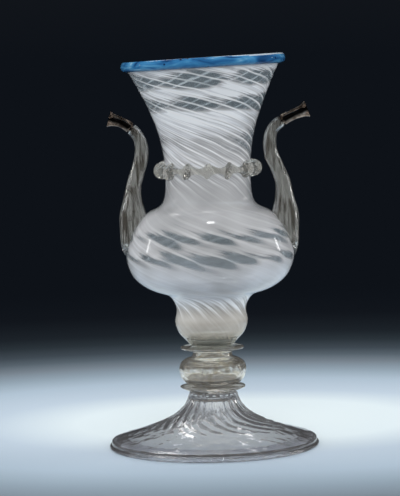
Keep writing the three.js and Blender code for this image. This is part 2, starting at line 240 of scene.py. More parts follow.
brim_height = FOLD_WALL + FOLD_CREASE + FOOT_WALL
sheet_radius = FOOT_RADIUS - FOLD_LIP
crease_end = sheet_radius - FOOT_WALL
flare = interpolate_bezier(
    (sheet_radius - FOOT_WALL / 3, brim_height),
    (sheet_radius - BRIM_REACH, brim_height + BRIM_RISE),
    (FOOT_TOP_RADIUS + STEEP_SPREAD, FOOT_HEIGHT - STEEP_DROP),
    (FOOT_TOP_RADIUS, FOOT_HEIGHT),
    FLARE_STEPS,
)
roof = FOOT_HEIGHT - FOOT_TOP_THICKNESS
underside = [
    point
    for point in reversed(offset(flare, FOOT_WALL))
    if point.y < roof and point.x < crease_end - FOOT_WALL / 2
]
fold_inner = FOOT_RADIUS - FOLD_WIDTH
fold_top = next(point.y for point in underside if point.x > fold_inner) - FOLD_CREASE
rest_outer = FOOT_RADIUS - FOLD_WALL / 2
foot = turn(
    "foot_glass",
    [
        (0, roof),
        (SCAR_RADIUS / 2, roof),
        (SCAR_RADIUS, roof),
        (underside[0].x * 0.8, roof),
        *underside,
        (crease_end, FOLD_WALL + FOLD_CREASE),
        (crease_end, FOLD_WALL),
        (fold_inner + FOLD_WALL, fold_top - FOLD_WALL * 0.1),
        (fold_inner + FOLD_WALL / 4, fold_top),
        (fold_inner, fold_top - FOLD_WALL / 2),
        (fold_inner + FOLD_WALL / 4, fold_top - FOLD_WALL * 0.95),
        (fold_inner + FOLD_WALL, fold_top - FOLD_WALL * 1.15),
        (rest_outer - REST_WIDTH, 0),
        (rest_outer - REST_WIDTH * 0.9, 0),
        (rest_outer, 0),
        (FOOT_RADIUS - FOLD_WALL * 0.1, FOLD_WALL * 0.2),
        (FOOT_RADIUS, FOLD_WALL / 2),
        (FOOT_RADIUS - FOLD_WALL * 0.1, FOLD_WALL * 0.8),
        (sheet_radius + FOLD_LIP * 0.3, FOLD_WALL + FOLD_CREASE * 0.2),
        (sheet_radius - FOLD_CREASE, FOLD_WALL + FOLD_CREASE / 2),
        (sheet_radius, brim_height - FOOT_WALL * 0.6),
        (sheet_radius - FOOT_WALL * 0.1, brim_height - FOOT_WALL * 0.2),
        *flare,
        (FOOT_TOP_RADIUS / 2, FOOT_HEIGHT),
        (0, FOOT_HEIGHT),
    ],
    FINE_TURN,
)
for vertex in foot.data.vertices:
    radius, angle = polar(vertex.co)
    if vertex.normal.z > 0.05 and FOOT_TOP_RADIUS < radius < RIB_END:
        fade = math.cos(math.pi / 2 * (radius / RIB_END) ** 2)
        swirl = RIB_TWIST * ((radius - FOOT_TOP_RADIUS) / (RIB_END - FOOT_TOP_RADIUS)) ** RIB_CURL
        swirl += RIB_WAVER * noise.noise(vertex.co / RIB_WAVER_SIZE)
        rib = 1 - 2 * abs(math.sin(RIB_COUNT / 2 * (angle - swirl))) ** RIB_WIDTH
        vertex.co += vertex.normal * RIB_DEPTH * fade * rib
    if radius < SCAR_RADIUS and vertex.co.z < FOOT_HEIGHT - FOOT_TOP_THICKNESS / 2:
        vertex.co.z -= SCAR_DEPTH * (0.5 + noise.noise(vertex.co * SCAR_SCALE))
foot.data.materials.append(
    blown_glass("Blown soda glass, grey", "FAF8F8", 0.03, 0.012, 0.0007, shade="CECED1")
)
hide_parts("foot")
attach(foot, "root")

# Stem: a saucer-shaped disc of glass, a hollow blown knop and a thin flat disc, dropped on hot, one
# on the other. Their glass has a straw tint, and their edges are uneven, as a hand left them.
JOIN_GAP = 0.0003
LOWER_DISC_RADIUS = 0.0207
LOWER_DISC_THICKNESS = 0.0043
LOWER_DISC_EDGE = 0.0012
UPPER_DISC_RADIUS = 0.02
UPPER_DISC_THICKNESS = 0.0024
UPPER_DISC_EDGE = 0.0017
KNOP_RADIUS = 0.0212
KNOP_HEIGHT = 0.0216
KNOP_WIDEST = 0.0099
KNOP_BASE_RADIUS = 0.0144
KNOP_NECK_RADIUS = 0.0121
KNOP_WALL = 0.0024
KNOP_FLOOR = 0.0036
KNOP_STEPS = 4
BODY_BASE_RADIUS = 0.0132
PLAIN_TURN = 64  # steps in a turn, for the other pieces
STEM_SAG_SIZE = 0.014


def between(start, end, shares):
    """Points between two points, by their share of the way across and of the way up."""
    return [
        (start[0] + (end[0] - start[0]) * across, start[1] + (end[1] - start[1]) * up)
        for across, up in shares
    ]


noise.seed_set(5)  # without it, noise_vector gives another shape on each run


def wobble(piece, size, amount):
    """Moves a piece's points by a little, over a given distance, as hot glass sags by itself."""
    for vertex in piece.data.vertices:
        shift = noise.noise_vector(vertex.co / size)
        vertex.co += amount * Vector((shift.x, shift.y, shift.z / 2))


def disc(name, base, thickness, radius, edge, edge_middle, seat_below, seat_above):
    """A disc with a rounded edge. Its flat seats meet what it rests on and what it carries."""
    under_edge = (radius - edge / 2, edge_middle - edge / 2)
    return turn(
        name,
        [
            (0, base),
            (seat_below * 0.5, base),
            (seat_below * 0.98, base),
            (seat_below, base),
            *between((seat_below, base), under_edge, [(0.5, 0.42)]),
            under_edge,
            (radius - edge * 0.08, edge_middle - edge * 0.3),
            (radius, edge_middle),
            (radius - edge * 0.08, edge_middle + edge * 0.3),
            (radius - edge / 2, edge_middle + edge / 2),
            (seat_above * 1.02, base + thickness),
            (seat_above * 0.98, base + thickness),
            (seat_above * 0.5, base + thickness),
            (0, base + thickness),
        ],
        PLAIN_TURN,
    )


lower_disc_base = FOOT_HEIGHT + JOIN_GAP
knop_base = lower_disc_base + LOWER_DISC_THICKNESS + JOIN_GAP
upper_disc_base = knop_base + KNOP_HEIGHT + JOIN_GAP
body_base = upper_disc_base + UPPER_DISC_THICKNESS + JOIN_GAP

lower_disc = disc(
    "lower_merese_glass", lower_disc_base, LOWER_DISC_THICKNESS, LOWER_DISC_RADIUS, LOWER_DISC_EDGE,
    lower_disc_base + LOWER_DISC_THICKNESS * 0.7, FOOT_TOP_RADIUS, KNOP_BASE_RADIUS,
)
upper_disc = disc(
    "upper_merese_glass", upper_disc_base, UPPER_DISC_THICKNESS, UPPER_DISC_RADIUS, UPPER_DISC_EDGE,
    upper_disc_base + UPPER_DISC_THICKNESS / 2, KNOP_NECK_RADIUS, BODY_BASE_RADIUS,
)
knop_foot = (KNOP_BASE_RADIUS, knop_base)
knop_middle = (KNOP_RADIUS, knop_base + KNOP_WIDEST)
knop_neck = (KNOP_NECK_RADIUS, knop_base + KNOP_HEIGHT)
knop_outside = smooth_line(
    [
        knop_foot,
        *between(knop_foot, knop_middle, [(0.48, 0.15), (0.88, 0.5)]),
        knop_middle,
        *between(knop_middle, knop_neck, [(0.14, 0.34), (0.5, 0.54), (0.9, 0.66)]),
        knop_neck,
    ],
    KNOP_STEPS,
)
knop_inside = [
    point for point in reversed(offset(knop_outside, KNOP_WALL)) if point.y > knop_base + KNOP_FLOOR
]
knop_inside[0].y = knop_base + KNOP_HEIGHT
knop = turn(
    "stem_knop_glass",
    [
        (0, knop_base),
        (KNOP_BASE_RADIUS / 2, knop_base),
        *knop_outside,
        *knop_inside,
        (knop_inside[-1].x / 2, knop_base + KNOP_FLOOR),
        (0, knop_base + KNOP_FLOOR),
    ],
    PLAIN_TURN,
)
straw_glass = blown_glass(
    "Blown soda glass, straw", "F9F8F5", 0.07, 0.009, 0.0006, (1, 1, 1.6), stain="E0D6C4"
)
for piece, node, unevenness in (
    (lower_disc, "lower_merese", 0.0004),
    (knop, "stem_knop", 0.0002),
    (upper_disc, "upper_merese", 0.0003),
):
    wobble(piece, STEM_SAG_SIZE, unevenness)
    piece.data.materials.append(straw_glass)
    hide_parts(node)
    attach(piece, "root")

# Body: neck, belly and bulb are one bubble of clear glass with sixteen white threads laid along it.
# Twisting the hot bubble wound the threads into spirals, and reheating it blurred them to a haze
# round the belly. The neck leans a little, and a hole is drilled behind each spout.
BULB_RADIUS = 0.0231
BULB_WIDEST = 0.0156
WAIST_RADIUS = 0.0218
WAIST_HEIGHT = 0.0231
BELLY_RADIUS = 0.053
BELLY_WIDEST = 0.0571
NECK_RADIUS = 0.0267
NECK_NARROWEST = 0.1043
RIM_RADIUS = 0.0498
BODY_HEIGHT = 0.1793
BODY_WALL = 0.002
BODY_FLOOR = 0.005
BODY_STEPS = 3
BODY_SAG = 0.0003
BODY_SAG_SIZE = 0.03
LEAN_START = 0.092
LEAN = math.radians(2.3)
HOLE_RADIUS = 0.003
HOLE_TILT = math.radians(30)
# Where the holes are: out from the belly's widest circle and up from it, left and right
HOLE_PLACES = ((-1, -0.0052, 0.0162), (1, -0.0052, 0.0152))
THREAD_COUNT = 16
# Steepness of the threads, in degrees from level, at heights above the body's base
THREAD_SLOPES = [
    (0, 60), (0.016, 52), (0.024, 45), (0.036, 26), (0.052, 20), (0.072, 20), (0.08, 25),
    (0.092, 38), (0.112, 32), (0.126, 27), (0.141, 22), (0.158, 19), (0.18, 15),
]
# At heights above the body's base: how far the haze closes the wall and how dense it is, and how
# plain the threads are and how wide, as a share of the distance from one to the next
BANDS = [
    (0, 1, 0.1, 0, 0.1), (0.008, 1, 0.55, 0, 0.1), (0.018, 1, 0.68, 0.1, 0.14),
    (0.022, 1, 0.6, 0.5, 0.18), (0.026, 1, 0.62, 0.95, 0.2), (0.03, 1, 0.85, 0.7, 0.2),
    (0.036, 1, 0.72, 0.12, 0.2), (0.049, 1, 0.66, 0.12, 0.2), (0.0575, 0.15, 0.56, 0.25, 0.15),
    (0.064, 0.8, 0.52, 0.25, 0.15), (0.0705, 0.15, 0.52, 0.25, 0.15), (0.0795, 1, 0.48, 0.1, 0.15),
    (0.092, 1, 0.45, 0.04, 0.13), (0.1, 0.9, 0.47, 0.2, 0.13), (0.106, 0.9, 0.55, 0.7, 0.13),
    (0.115, 0.85, 0.64, 0.75, 0.12), (0.131, 0.67, 0.75, 0.9, 0.12), (0.138, 0.95, 0.8, 0.8, 0.11),
    (0.145, 1, 0.9, 0.7, 0.11), (0.1485, 0.3, 0.88, 1, 0.12), (0.1523, 0.05, 0.88, 1, 0.12),
    (0.156, 0.3, 0.88, 1, 0.12), (0.1595, 1, 0.88, 0.8, 0.11), (0.163, 0.3, 0.88, 1, 0.12),
    (0.1669, 0.05, 0.88, 1, 0.12), (0.1706, 0.3, 0.88, 1, 0.12), (0.1745, 0.9, 0.88, 0.8, 0.11),
    (0.1793, 0.8, 0.8, 0.9, 0.1),
]
WINDOW_HAZE = 0.15

belly_height = body_base + BELLY_WIDEST
rim_height = body_base + BODY_HEIGHT
base = (BODY_BASE_RADIUS, body_base)
bulb = (BULB_RADIUS, body_base + BULB_WIDEST)
waist = (WAIST_RADIUS, body_base + WAIST_HEIGHT)
belly = (BELLY_RADIUS, belly_height)
neck = (NECK_RADIUS, body_base + NECK_NARROWEST)
rim = (RIM_RADIUS, rim_height)
body_outside = smooth_line(
    [
        base,
        *between(base, bulb, [(0.34, 0.25), (0.75, 0.52)]),
        bulb,
        waist,
        *between(waist, belly, [(0.13, 0.245), (0.516, 0.375), (0.82, 0.575), (0.945, 0.785)]),
        belly,
        *between(belly, neck, [(0.085, 0.175), (0.215, 0.355), (0.53, 0.572)]),
        *between(belly, neck, [(0.84, 0.658), (0.95, 0.745)]),
        neck,
        *between(neck, rim, [(0.045, 0.24), (0.18, 0.43), (0.35, 0.58), (0.63, 0.78)]),
        rim,
    ],
    BODY_STEPS,
)


def read_off(table, height):
    """The value at a height, from pairs of height and value that rise."""
    for (low, start), (high, end) in zip(table, table[1:]):
        if height <= high:
            return start + (end - start) * max(height - low, 0) / (high - low)
    return table[-1][1]


def wind_up(outline):
    """How far round the body a thread has gone at each height of its outline, in turns."""
    turns, wound = 0, []
    for below, above in zip(outline, outline[1:]):
        wound.append((below.y, turns))
        middle = (below + above) / 2
        slope = math.radians(read_off(THREAD_SLOPES, middle.y - body_base))
        turns += (above - below).length / math.tan(slope) / (math.tau * middle.x)
    return wound + [(outline[-1].y, turns)]


def lean(piece):
    """Bends the neck to the left along an arc, with each ring kept square to it."""
    start = body_base + LEAN_START
    bend = (rim_height - start) / LEAN
    for vertex in piece.data.vertices:
        angle = (vertex.co.z - start) / bend
        if angle > 0:
            across = bend + vertex.co.x
            vertex.co.x = across * math.cos(angle) - bend
            vertex.co.z = start + across * math.sin(angle)


def cut(piece, cutter):
    """Takes the cutter's space out of a piece, and throws the cutter away."""
    bpy.context.view_layer.objects.active = piece
    bpy.ops.object.modifier_add(type="BOOLEAN")
    piece.modifiers[0].object = cutter
    bpy.ops.object.modifier_apply(modifier=piece.modifiers[0].name)
    bpy.data.objects.remove(cutter)


body_inside = [
    point for point in reversed(offset(body_outside, BODY_WALL)) if point.y > body_base + BODY_FLOOR
]
body_inside[0].y = rim_height
body = turn(
    "vessel_body_glass",
    [
        (0, body_base),
        (BODY_BASE_RADIUS / 2, body_base),
        *body_outside,
        *body_inside,
        (body_inside[-1].x / 2, body_base + BODY_FLOOR),
        (0, body_base + BODY_FLOOR),
    ],
    PLAIN_TURN,
)
for side, out, up in HOLE_PLACES:
    bpy.ops.object.select_all(action="DESELECT")
    bpy.ops.mesh.primitive_cylinder_add(
        vertices=24,
        radius=HOLE_RADIUS,
        depth=BODY_WALL * 6,
        location=(side * (BELLY_RADIUS + out), 0, belly_height + up),
        rotation=(0, side * (math.pi / 2 - HOLE_TILT), 0),
    )
    cut(body, bpy.context.object)
wound = wind_up(body_outside)
lanes = body.data.uv_layers.new(name="threads")
for polygon in body.data.polygons:
    corners = [body.data.vertices[index].co for index in polygon.vertices]
    turns = [polar(corner)[1] / math.tau for corner in corners]
    if max(turns) - min(turns) > 0.5:
        turns = [share + 1 if share < 0 else share for share in turns]
    for loop, corner, share in zip(polygon.loop_indices, corners, turns):
        lanes.data[loop].uv = (share + read_off(wound, corner.z), corner.z)
    outwards = polygon.normal.x * polygon.center.x + polygon.normal.y * polygon.center.y
    polygon.material_index = 0 if outwards > 0 else 1
wobble(body, BODY_SAG_SIZE, BODY_SAG)
lean(body)

# The threads lie in the skin of the bubble, so only its outside has them. They run along lanes that
# were wound up into the map: its U counts turns, and its V is the height. Haze closes the wall in
# bands, and reaches further in along the threads, so that clear windows are left between them.
SWELL_SCALE = 38  # swells of about 26 mm in the wall
SWELL_HEIGHT = 0.0006
THREAD_DRIFT = 0.6  # how far a swell pushes the threads aside, in lanes
STREAK_SCALE = 5  # streaks a fifth of a lane wide
STREAK_RATE = 12  # and 17 mm long
PATCH_SCALE = 22  # patches of about 45 mm, with smaller ones in them
BAND_RAGGEDNESS = 0.006
THREAD_FULL = 0.5  # a thread is at its whitest this far from its middle, in its own widths
THREAD_GONE = 1.2  # and nothing is left of it this far
THREAD_WHITENESS = 0.95
BESIDE_THREAD = 0.4  # lanes from a thread in which the haze reaches further
REACH_BESIDE = 0.4
REACH_IN_STREAKS = 0.6
REACH_IN_PATCHES = 2
HAZE_BEGINS = 1.6  # sum of these reaches and the band's, from which haze shows
HAZE_CLOSES = 2.1
CLOUD_LEAST = 0.2
CLOUD_SWING = 1.6

thread_glass = new_material("Blown glass with white threads")
lane = add_node(thread_glass, "UVMap", {}, uv_map="threads")
parts = add_node(thread_glass, "SeparateXYZ", {0: lane.outputs[0]})
place = add_node(thread_glass, "TexCoord", {})
drift = add_node(
    thread_glass,
    "TexNoise",
    {"Vector": place.outputs["Object"], "Scale": SWELL_SCALE, "Detail": 1},
)
lane_number = add_node(
    thread_glass, "Math", {0: parts.outputs["X"], 1: THREAD_COUNT}, operation="MULTIPLY"
)
drifted = add_node(
    thread_glass,
    "Math",
    {0: drift.outputs["Fac"], 1: THREAD_DRIFT, 2: lane_number.outputs[0]},
    operation="MULTIPLY_ADD",
)
height_scaled = add_node(
    thread_glass, "Math", {0: parts.outputs["Y"], 1: STREAK_RATE}, operation="MULTIPLY"
)
streak_place = add_node(
    thread_glass, "CombineXYZ", {"X": drifted.outputs[0], "Y": height_scaled.outputs[0]}
)
streaks = add_node(
    thread_glass,
    "TexNoise",
    {"Vector": streak_place.outputs[0], "Scale": STREAK_SCALE, "Detail": 4},
)
patches = add_node(
    thread_glass,
    "TexNoise",
    {"Vector": place.outputs["Object"], "Scale": PATCH_SCALE, "Detail": 2},
)
ragged_height = add_node(
    thread_glass,
    "Math",
    {0: streaks.outputs["Fac"], 1: BAND_RAGGEDNESS, 2: parts.outputs["Y"]},
    operation="MULTIPLY_ADD",
)
level = add_node(
    thread_glass,
    "MapRange",
    {
        "Value": ragged_height.outputs[0],
        "From Min": body_base + BAND_RAGGEDNESS / 2,
        "From Max": rim_height + BAND_RAGGEDNESS / 2,
    },
)
bands = add_node(
    thread_glass,
    "ValToRGB",
    {"Fac": level.outputs[0]},
    stops=[(height / BODY_HEIGHT, values) for height, *values in BANDS],
)
band = add_node(thread_glass, "SeparateColor", {0: bands.outputs["Color"]})
closed, dense, plain = (band.outputs[channel] for channel in ("Red", "Green", "Blue"))
from_thread = add_node(thread_glass, "Math", {0: drifted.outputs[0], 1: 0.5}, operation="PINGPONG")
by_width = add_node(
    thread_glass,
    "Math",
    {0: from_thread.outputs[0], 1: bands.outputs["Alpha"]},
    operation="DIVIDE",
)
thread = add_node(
    thread_glass,
    "MapRange",
    {"Value": by_width.outputs[0], "From Min": THREAD_GONE, "From Max": THREAD_FULL},
    interpolation_type="SMOOTHSTEP",
)
uneven = add_node(
    thread_glass,
    "MapRange",
    {
        "Value": streaks.outputs["Fac"],
        "From Min": 0.32,
        "From Max": 0.58,
        "To Min": 0.35,
        "To Max": 1,
    },
)
faded = add_node(thread_glass, "Math", {0: plain, 1: uneven.outputs[0]}, operation="MULTIPLY")
white = add_node(
    thread_glass, "Math", {0: thread.outputs[0], 1: faded.outputs[0]}, operation="MULTIPLY"
)
beside = add_node(
    thread_glass,
    "MapRange",
    {
        "Value": from_thread.outputs[0],
        "From Min": BESIDE_THREAD,
        "From Max": 0,
        "To Max": REACH_BESIDE,
    },
)
spread = add_node(thread_glass, "Math", {0: plain, 1: -1, 2: 1.15}, operation="MULTIPLY_ADD")
reach = add_node(
    thread_glass,
    "Math",
    {0: beside.outputs[0], 1: spread.outputs[0], 2: closed},
    operation="MULTIPLY_ADD",
)
ragged_reach = add_node(
    thread_glass,
    "Math",
    {0: streaks.outputs["Fac"], 1: REACH_IN_STREAKS, 2: reach.outputs[0]},
    operation="MULTIPLY_ADD",
)
patchy_reach = add_node(
    thread_glass,
    "Math",
    {0: patches.outputs["Fac"], 1: REACH_IN_PATCHES, 2: ragged_reach.outputs[0]},
    operation="MULTIPLY_ADD",
)
cover = add_node(
    thread_glass,
    "MapRange",
    {"Value": patchy_reach.outputs[0], "From Min": HAZE_BEGINS, "From Max": HAZE_CLOSES},
    interpolation_type="SMOOTHSTEP",
)
streaked = add_node(
    thread_glass,
    "MapRange",
    {
        "Value": streaks.outputs["Fac"],
        "From Min": 0.3,
        "From Max": 0.7,
        "To Min": -0.5,
        "To Max": 0.4,
    },
)
streaked_there = add_node(
    thread_glass, "Math", {0: streaked.outputs[0], 1: plain, 2: 1}, operation="MULTIPLY_ADD"
)
thick = add_node(
    thread_glass, "Math", {0: dense, 1: streaked_there.outputs[0]}, operation="MULTIPLY"
)
cloud = add_node(
    thread_glass,
    "Math",
    {0: patches.outputs["Fac"], 1: CLOUD_SWING, 2: CLOUD_LEAST},
    operation="MULTIPLY_ADD",
)
clouded = add_node(
    thread_glass, "Math", {0: thick.outputs[0], 1: cloud.outputs[0]}, operation="MULTIPLY"
)
milk = add_node(
    thread_glass,
    "MapRange",
    {"Value": cover.outputs[0], "To Min": WINDOW_HAZE, "To Max": clouded.outputs[0]},
)
past_milk = add_node(
    thread_glass, "Math", {0: 1, 1: milk.outputs[0]}, operation="SUBTRACT", use_clamp=True
)
past_threads = add_node(
    thread_glass,
    "Math",
    {0: white.outputs[0], 1: -THREAD_WHITENESS, 2: 1},
    operation="MULTIPLY_ADD",
    use_clamp=True,
)
see_through = add_node(
    thread_glass,
    "Math",
    {0: past_milk.outputs[0], 1: past_threads.outputs[0]},
    operation="MULTIPLY",
)
haze = add_node(
    thread_glass,
    "ValToRGB",
    {"Fac": milk.outputs[0]},
    stops=[
        (0.1, linear("C4D4DC")), (0.25, linear("CED5DA")), (0.45, linear("D9DADC")),
        (0.6, linear("DBDCDF")), (0.8, linear("E2E6EC")), (1, linear("F2F6FA")),
    ],
)
tint = add_node(
    thread_glass,
    "ValToRGB",
    {"Fac": level.outputs[0]},
    stops=[(0.05, linear("F0E6D4")), (0.13, linear("F8F3EA")), (0.18, linear("FFFFFF"))],
)
tinted = add_node(
    thread_glass,
    "Mix",
    {"Factor": 1, "A": haze.outputs[0], "B": tint.outputs[0]},
    data_type="RGBA",
    blend_type="MULTIPLY",
)
colour = add_node(
    thread_glass,
    "Mix",
    {"Factor": white.outputs[0], "A": tinted.outputs["Result"], "B": linear("F4F6F8")},
    data_type="RGBA",
)
sag = add_node(
    thread_glass,
    "Bump",
    {"Height": drift.outputs["Fac"], "Distance": SWELL_HEIGHT, "Strength": 1},
)
wall = add_node(
    thread_glass,
    "BsdfPrincipled",
    {
        "Base Color": colour.outputs["Result"],
        "Roughness": 0.05,
        "IOR": GLASS_IOR,
        "Transmission Weight": see_through.outputs[0],
        "Normal": sag.outputs[0],
    },
)
path = add_node(thread_glass, "LightPath", {})
let_by = add_node(
    thread_glass,
    "Math",
    {0: path.outputs["Is Shadow Ray"], 1: see_through.outputs[0]},
    operation="MULTIPLY",
)
open_air = add_node(thread_glass, "BsdfTransparent", {})
either = add_node(
    thread_glass, "MixShader", {0: let_by.outputs[0], 1: wall.outputs[0], 2: open_air.outputs[0]}
)
add_node(thread_glass, "OutputMaterial", {"Surface": either.outputs[0]})
body.data.materials.append(thread_glass)
body.data.materials.append(
    blown_glass("Blown soda glass, inside", "F8F9F9", 0.01, 0.02, 0.0003)
)
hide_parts("vessel_body")
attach(body, "root")

# Lip: a trail of azure glass, wound once round the rim while both were hot and left a little
# uneven. Dark blue streaks run through it, and its top edge is painted pale, a painted highlight.
LIP_HEIGHT = 0.0064
LIP_THICKNESS = 0.0019
LIP_COVER = 0.0012
LIP_UNEVENNESS = 0.0005
BLUE_STREAKS = (55, 55, 240)  # streaks of about 18 mm by 4 mm
SPECK_SCALE = 260  # grit a few millimetres apart

seat = rim_height + JOIN_GAP
lip_top = seat + LIP_COVER
lip_bottom = lip_top - LIP_HEIGHT
lip_outer = RIM_RADIUS + LIP_THICKNESS
lip_inner = RIM_RADIUS - BODY_WALL
against = read_off([(point.y, point.x) for point in offset(body_outside, -JOIN_GAP)], lip_bottom)
seat_rim = RIM_RADIUS + JOIN_GAP
lip = turn(
    "lip_wrap_glass",
    [
        (lip_inner, seat + LIP_COVER * 0.4),
        (lip_inner, seat + LIP_COVER * 0.05),
        (lip_inner + BODY_WALL * 0.05, seat),
        (seat_rim * 0.999, seat),
        (seat_rim, seat - LIP_HEIGHT * 0.02),
        *between((seat_rim, seat), (against, lip_bottom), [(0.5, 0.5), (0.96, 0.96)]),
        (against + LIP_THICKNESS * 0.1, lip_bottom),
        (against + (lip_outer - against) * 0.5, lip_bottom + LIP_HEIGHT * 0.02),
        (lip_outer - LIP_THICKNESS * 0.25, lip_bottom + LIP_HEIGHT * 0.15),
        (lip_outer - LIP_THICKNESS * 0.02, lip_bottom + LIP_HEIGHT * 0.38),
        (lip_outer, lip_bottom + LIP_HEIGHT * 0.56),
        (lip_outer - LIP_THICKNESS * 0.2, lip_bottom + LIP_HEIGHT * 0.77),
        (lip_outer - LIP_THICKNESS * 0.6, lip_bottom + LIP_HEIGHT * 0.93),
        (RIM_RADIUS, lip_top),
        (lip_inner + BODY_WALL * 0.4, lip_top - LIP_COVER * 0.1),
    ],
    FINE_TURN,
)
for vertex in lip.data.vertices:
    radius, angle = polar(vertex.co)
    outer = min(max((radius - seat_rim) / LIP_THICKNESS, 0), 1)
    swell = noise.noise(Vector((math.cos(angle), math.sin(angle), 0)) * 5)
    dip = noise.noise(Vector((math.cos(angle), math.sin(angle), 3)) * 4)
    vertex.co.x *= 1 + LIP_UNEVENNESS * outer * swell / radius
    vertex.co.y *= 1 + LIP_UNEVENNESS * outer * swell / radius
    vertex.co.z += LIP_UNEVENNESS * outer * dip
wobble(lip, BODY_SAG_SIZE, BODY_SAG)
lean(lip)

azure = new_material("Azure glass")
place = add_node(azure, "TexCoord", {})
slant = add_node(
    azure,
    "Mapping",
    {
        "Vector": place.outputs["Object"],
        "Rotation": (0, math.radians(30), 0),
        "Scale": BLUE_STREAKS,
    },
)
swirl = add_node(
    azure, "TexNoise", {"Vector": slant.outputs[0], "Scale": 1, "Detail": 2, "Distortion": 0.8}
)
blue = add_node(
    azure,
    "ValToRGB",
    {"Fac": swirl.outputs["Fac"]},
    stops=[
        (0.33, linear("143A66")), (0.43, linear("285F92")), (0.53, linear("3A7BAC")),
        (0.62, linear("5492BC")), (0.72, linear("A0C4DA")),
    ],
)
specks = add_node(
    azure, "TexNoise", {"Vector": place.outputs["Object"], "Scale": SPECK_SCALE, "Detail": 1}
)
speck = add_node(
    azure, "MapRange", {"Value": specks.outputs["Fac"], "From Min": 0.7, "From Max": 0.74}
)
speckled = add_node(
    azure,
    "Mix",
    {"Factor": speck.outputs[0], "A": blue.outputs[0], "B": linear("0A1636")},
    data_type="RGBA",
)
skin = add_node(
    azure,
    "BsdfPrincipled",
    {"Base Color": speckled.outputs["Result"], "Roughness": 0.07, "IOR": GLASS_IOR},
)
add_node(azure, "OutputMaterial", {"Surface": skin.outputs[0]})
lip.data.materials.append(azure)
lip.data.materials.append(
    blown_glass("Azure glass, painted pale on top as a highlight", "DCE8F0", 0.6, 0.01, 0.0003)
)
# Painted highlight: the upward faces on top of the rim's wall take a pale, veiled glass.
for polygon in lip.data.polygons:
    if polygon.normal.z > 0.6 and polar(polygon.center)[0] < RIM_RADIUS:
        polygon.material_index = 1
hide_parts("lip_wrap")
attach(lip, "root")

# Collar: a trail of clear glass, laid once round the neck and pinched with ridged tongs at thirteen
# places. Each pinch draws the trail out into a fin, which leans a little as the tongs left it.
COLLAR_MIDDLE = 0.111
BAND_HEIGHT = 0.0058
BAND_THICKNESS = 0.0026
BAND_DEPTH = 0.0004  # how far the ring starts inside the neck, out of which it is pushed below
BAND_SWAY = 0.0005
BAND_SWELL = 0.3  # how much higher the band is at a pinch, as a share
BAND_TURN = 128
FIN_COUNT = 13
FIN_HEIGHT = 0.0114
FIN_DEPTH = 0.011
FIN_WIDTH = 0.0092
FIN_REACH = 0.0077
FIN_LEAN = math.radians(22)
TONGS_PITCH = 0.0028
TONGS_DEPTH = 0.0006
COLLAR_GRAIN = 0.0004

collar_height = body_base + COLLAR_MIDDLE
band_inner = NECK_RADIUS - BAND_DEPTH
band_outer = NECK_RADIUS + JOIN_GAP + BAND_THICKNESS
collar = turn(
    "pinched_collar_glass",
    [
        (band_inner, collar_height - BAND_HEIGHT / 2),
        (band_outer - BAND_THICKNESS * 0.4, collar_height - BAND_HEIGHT / 2),
        (band_outer, collar_height - BAND_HEIGHT / 4),
        (band_outer, collar_height + BAND_HEIGHT / 4),
        (band_outer - BAND_THICKNESS * 0.4, collar_height + BAND_HEIGHT / 2),
        (band_inner, collar_height + BAND_HEIGHT / 2),
    ],
    BAND_TURN,
)
for vertex in collar.data.vertices:
    along_fins = FIN_COUNT * (polar(vertex.co)[1] + math.pi / 2)
    vertex.co.z += BAND_SWAY * math.sin(along_fins)
    vertex.co.z += (vertex.co.z - collar_height) * BAND_SWELL * math.cos(along_fins)
hand = random.Random(7)
fins = []
for number in range(FIN_COUNT):
    around = -math.pi / 2 + math.tau * number / FIN_COUNT + hand.uniform(-0.03, 0.03)
    tilt = FIN_LEAN + math.radians(hand.uniform(-9, 9))
    width = FIN_WIDTH * hand.uniform(0.85, 1.15)
    height = FIN_HEIGHT * hand.uniform(0.9, 1.02)
    bpy.ops.object.select_all(action="DESELECT")
    bpy.ops.mesh.primitive_uv_sphere_add(segments=48, ring_count=32, radius=0.5)
    fin = bpy.context.object
    fins.append(fin)
    out_of_true = hand.uniform(-0.0004, 0.0004)
    for vertex in fin.data.vertices:
        out, across, up = vertex.co
        ridges = math.sin(math.tau * out * FIN_DEPTH / TONGS_PITCH)
        ridges *= math.sin(math.tau * up * FIN_HEIGHT / TONGS_PITCH)
        across = across * width * (1.1 - 0.6 * (out + 0.5)) * (1 - 0.9 * abs(up))
        across += math.copysign(TONGS_DEPTH, across) * ridges * (1 - 4 * up * up)
        up *= height
        across = across * math.cos(tilt) + up * math.sin(tilt) * 0.5
        vertex.co = (out * FIN_DEPTH, across, up)
    centre = NECK_RADIUS + FIN_REACH - FIN_DEPTH / 2 + hand.uniform(-0.0004, 0.0003)
    to_place = Matrix.Rotation(around, 4, "Z") @ Matrix.Translation(
        (centre, 0, collar_height + out_of_true)
    )
    fin.data.transform(to_place)
bpy.ops.object.select_all(action="DESELECT")
for fin in fins:
    fin.select_set(True)
collar.select_set(True)
bpy.context.view_layer.objects.active = collar
bpy.ops.object.join()
bpy.ops.object.modifier_add(type="REMESH")
collar.modifiers[0].mode = "VOXEL"
collar.modifiers[0].voxel_size = COLLAR_GRAIN
collar.modifiers[0].use_smooth_shade = True
bpy.ops.object.modifier_apply(modifier=collar.modifiers[0].name)
bpy.ops.object.modifier_add(type="SMOOTH")
collar.modifiers[0].iterations = 2
bpy.ops.object.modifier_apply(modifier=collar.modifiers[0].name)
neck_outside = [(point.y, point.x + JOIN_GAP) for point in body_outside]
for vertex in collar.data.vertices:
    radius, angle = polar(vertex.co)
    least = read_off(neck_outside, vertex.co.z)
    if radius < least:
        vertex.co.x *= least / radius
        vertex.co.y *= least / radius
wobble(collar, BODY_SAG_SIZE, BODY_SAG)
lean(collar)
collar.data.materials.append(blown_glass("Pinched soda glass", "F5F2EA", 0.05, 0.004, 0.0004))
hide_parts("pinched_collar")
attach(collar, "root")

